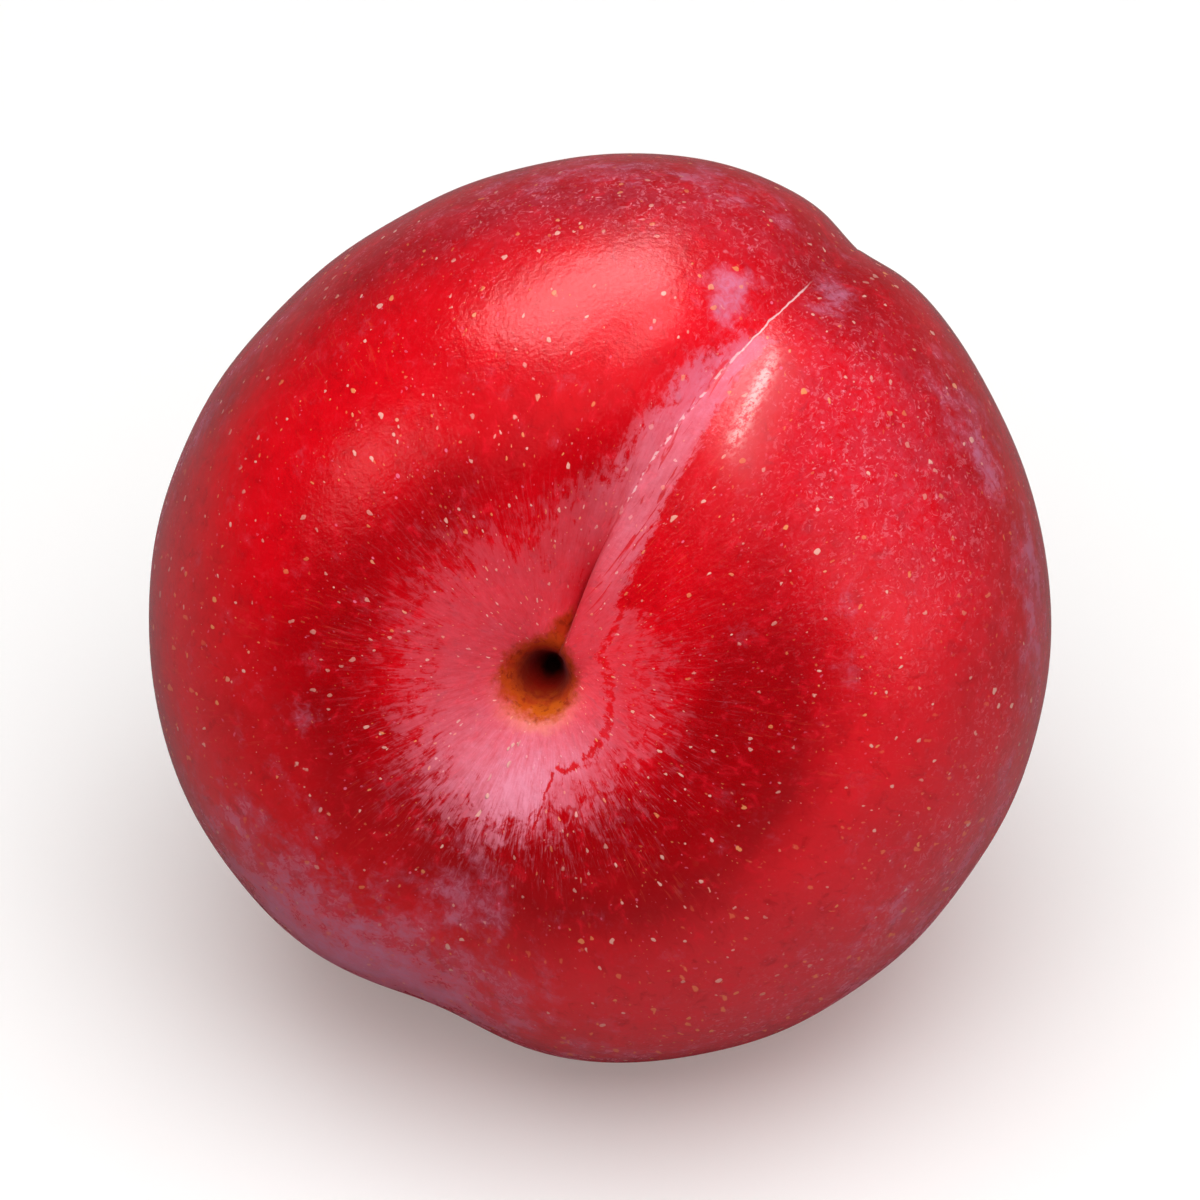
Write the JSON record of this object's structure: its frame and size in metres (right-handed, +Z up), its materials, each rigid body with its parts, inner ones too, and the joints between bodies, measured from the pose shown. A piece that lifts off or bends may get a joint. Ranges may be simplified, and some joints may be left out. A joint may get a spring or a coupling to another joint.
{
  "type": "plum",
  "caption": "Whole red plum lying on its cheek: a round stone fruit with a stalk cavity, a stalk pit, a suture groove and a small flat resting spot.",
  "frame": {"origin": "on the resting surface, under the middle of the fruit's box", "axes": "+Z up from the resting surface; the stem end points forward (-Y), about 30 degrees above level and turned 10 degrees towards -X; +X to the right, across the cheeks"},
  "size_m": [0.0604, 0.0574, 0.0592],
  "materials": {
    "plum_skin": "smooth waxy fruit skin, scarlet to deep crimson, satin gloss, with a thin pale bloom and fine pale dots"
  },
  "bodies": {
    "root": {"plum": "plum_skin"}
  },
  "joints": []
}
